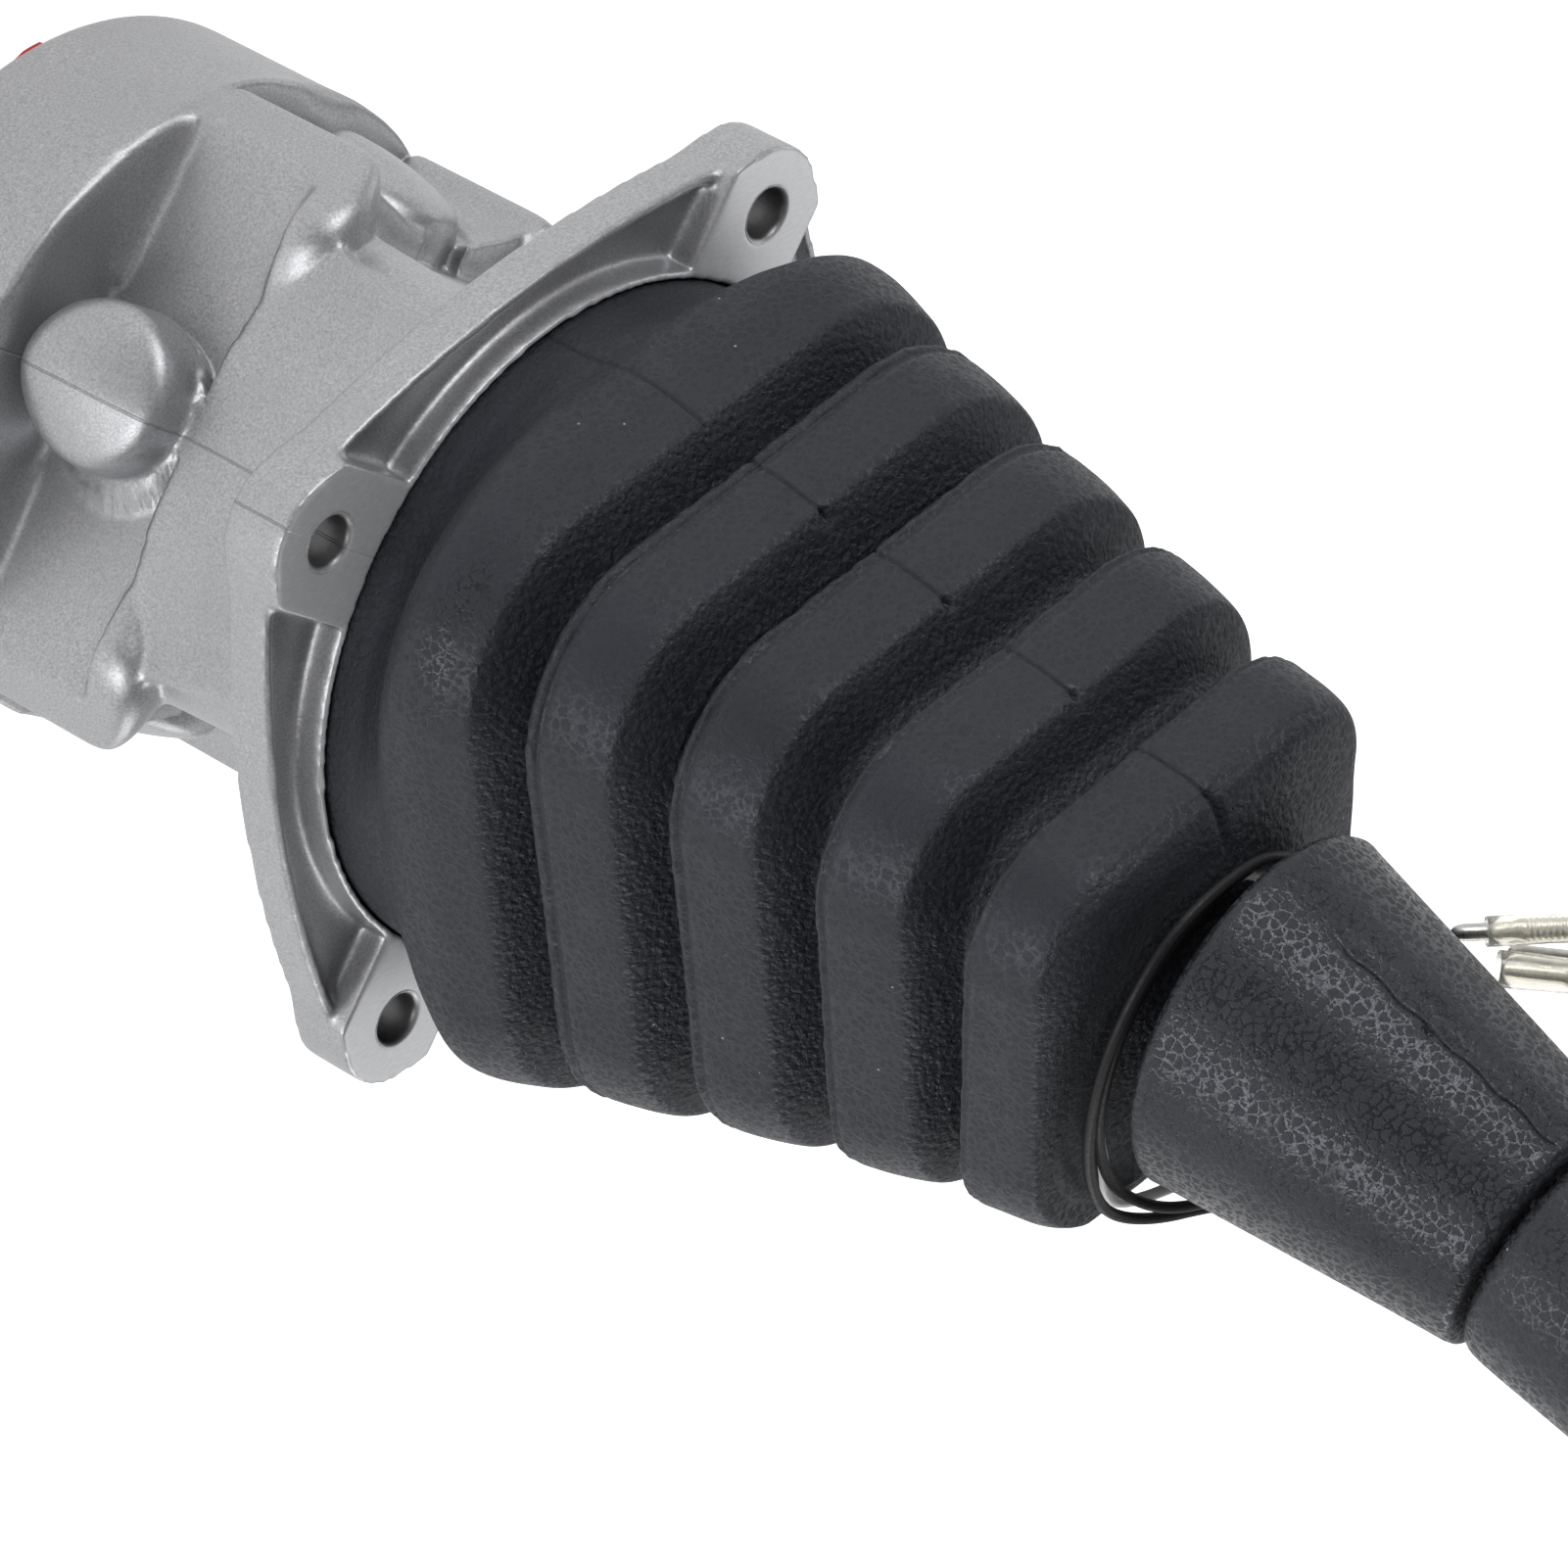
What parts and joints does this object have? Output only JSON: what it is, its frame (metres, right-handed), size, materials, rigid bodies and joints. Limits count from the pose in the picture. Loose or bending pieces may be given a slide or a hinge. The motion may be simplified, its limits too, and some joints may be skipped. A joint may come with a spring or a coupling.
{
  "type": "hydraulic pilot control joystick",
  "caption": "Two-axis hydraulic pilot valve joystick: cast body with square bolt flange, ribbed rubber bellows, rubber switch grip and thin leads with bullet terminals.",
  "frame": {"origin": "centre of the bolt flange on the plane of its four machined pads", "axes": "+Z along the valve's axis towards the grip; X and Y run along the sides of the square of bolt holes; the grip leans towards -Y"},
  "size_m": [0.1089, 0.1187, 0.3663],
  "materials": {
    "aluminium_casting": "sand-blasted casting",
    "steel": "ground",
    "zinc_steel": "zinc plated",
    "spring_steel": "oiled wire",
    "boot_rubber": "fine leather grain, matt",
    "grip_rubber": "pebbled, matt",
    "black_rubber": "smooth",
    "red_plastic": "moulded",
    "button_plastic": "moulded",
    "switch_plastic": "moulded",
    "tie_plastic": "nylon",
    "black_sheath": "soft sheath",
    "white_sheath": "soft sheath",
    "tinned_metal": "tinned and crimped",
    "clear_sleeve": "clear soft sleeve"
  },
  "bodies": {
    "root": {"valve_body": "aluminium_casting", "port_cap": "red_plastic", "centre_plug": "zinc_steel", "centre_seal": "black_rubber", "guide_plugs": "steel", "plug_o_rings": "black_rubber", "rod_seals": "black_rubber", "retainer_plate": "steel", "retainer_screws": "zinc_steel", "boot_ring": "steel", "ring_screws": "zinc_steel", "joint_stud": "steel", "boot": "boot_rubber", "return_spring_1": "spring_steel", "return_spring_2": "spring_steel", "return_spring_3": "spring_steel", "return_spring_4": "spring_steel", "metering_spring_1": "spring_steel", "metering_spring_2": "spring_steel", "metering_spring_3": "spring_steel", "metering_spring_4": "spring_steel"},
    "cross": {"joint_cross": "steel"},
    "lever": {"joint_fork": "steel", "tilt_disc": "steel", "adjusting_nut": "zinc_steel", "lock_nut": "zinc_steel", "coupling_nut": "zinc_steel", "lever": "zinc_steel", "grip_skirt": "grip_rubber", "grip_body": "grip_rubber", "button_switch": "switch_plastic", "button_spring": "spring_steel", "lead_black": "black_sheath", "lead_black_two": "black_sheath", "lead_white": "white_sheath", "terminal_black": "tinned_metal", "terminal_black_two": "tinned_metal", "terminal_white": "tinned_metal", "sleeve_black": "clear_sleeve", "sleeve_black_two": "clear_sleeve", "sleeve_white": "clear_sleeve", "lead_tie": "tie_plastic"},
    "button": {"button": "button_plastic"},
    "rod_1": {"push_rod_1": "steel", "spring_seat_1": "steel"},
    "spool_1": {"spool_1": "steel"},
    "rod_2": {"push_rod_2": "steel", "spring_seat_2": "steel"},
    "spool_2": {"spool_2": "steel"},
    "rod_3": {"push_rod_3": "steel", "spring_seat_3": "steel"},
    "spool_3": {"spool_3": "steel"},
    "rod_4": {"push_rod_4": "steel", "spring_seat_4": "steel"},
    "spool_4": {"spool_4": "steel"}
  },
  "joints": [
    {"name": "lever_pitch", "type": "hinge", "parent": "root", "child": "cross", "pos_m": [0, 0, 0.018], "axis": [1, 0, 0], "range_deg": [-18, 18], "stiffness_Nm_per_rad": 6, "deforming": ["boot"]},
    {"name": "lever_roll", "type": "hinge", "parent": "cross", "child": "lever", "pos_m": [0, 0, 0.018], "axis": [0, 1, 0], "range_deg": [-18, 18], "stiffness_Nm_per_rad": 6, "deforming": ["boot"]},
    {"name": "button_press", "type": "slide", "parent": "lever", "child": "button", "axis": [0, 0.2756, -0.9613], "range_m": [0, 0.0025], "stiffness_N_per_m": 800, "springref_m": -0.0005, "deforming": ["button_spring"]},
    {"name": "rod_1_slide", "type": "slide", "parent": "root", "child": "rod_1", "axis": [0, 0, 1], "range_m": [-0.00725, 0.00725], "deforming": ["return_spring_1", "metering_spring_1"]},
    {"name": "rod_2_slide", "type": "slide", "parent": "root", "child": "rod_2", "axis": [0, 0, 1], "range_m": [-0.00725, 0.00725], "deforming": ["return_spring_2", "metering_spring_2"]},
    {"name": "rod_3_slide", "type": "slide", "parent": "root", "child": "rod_3", "axis": [0, 0, 1], "range_m": [-0.00725, 0.00725], "deforming": ["return_spring_3", "metering_spring_3"]},
    {"name": "rod_4_slide", "type": "slide", "parent": "root", "child": "rod_4", "axis": [0, 0, 1], "range_m": [-0.00725, 0.00725], "deforming": ["return_spring_4", "metering_spring_4"]},
    {"name": "spool_1_slide", "type": "slide", "parent": "root", "child": "spool_1", "axis": [0, 0, 1], "range_m": [-0.0009, 0.0009], "deforming": ["metering_spring_1"]},
    {"name": "spool_2_slide", "type": "slide", "parent": "root", "child": "spool_2", "axis": [0, 0, 1], "range_m": [-0.0009, 0.0009], "deforming": ["metering_spring_2"]},
    {"name": "spool_3_slide", "type": "slide", "parent": "root", "child": "spool_3", "axis": [0, 0, 1], "range_m": [-0.0009, 0.0009], "deforming": ["metering_spring_3"]},
    {"name": "spool_4_slide", "type": "slide", "parent": "root", "child": "spool_4", "axis": [0, 0, 1], "range_m": [-0.0009, 0.0009], "deforming": ["metering_spring_4"]}
  ],
  "couplings": [
    {"joint": "rod_1_slide", "follows": "lever_roll", "m_per_rad": -0.022754},
    {"joint": "rod_2_slide", "follows": "lever_pitch", "m_per_rad": 0.022754},
    {"joint": "rod_3_slide", "follows": "lever_roll", "m_per_rad": 0.022754},
    {"joint": "rod_4_slide", "follows": "lever_pitch", "m_per_rad": -0.022754},
    {"joint": "spool_1_slide", "follows": "lever_roll", "m_per_rad": -0.0025},
    {"joint": "spool_2_slide", "follows": "lever_pitch", "m_per_rad": 0.0025},
    {"joint": "spool_3_slide", "follows": "lever_roll", "m_per_rad": 0.0025},
    {"joint": "spool_4_slide", "follows": "lever_pitch", "m_per_rad": -0.0025}
  ]
}
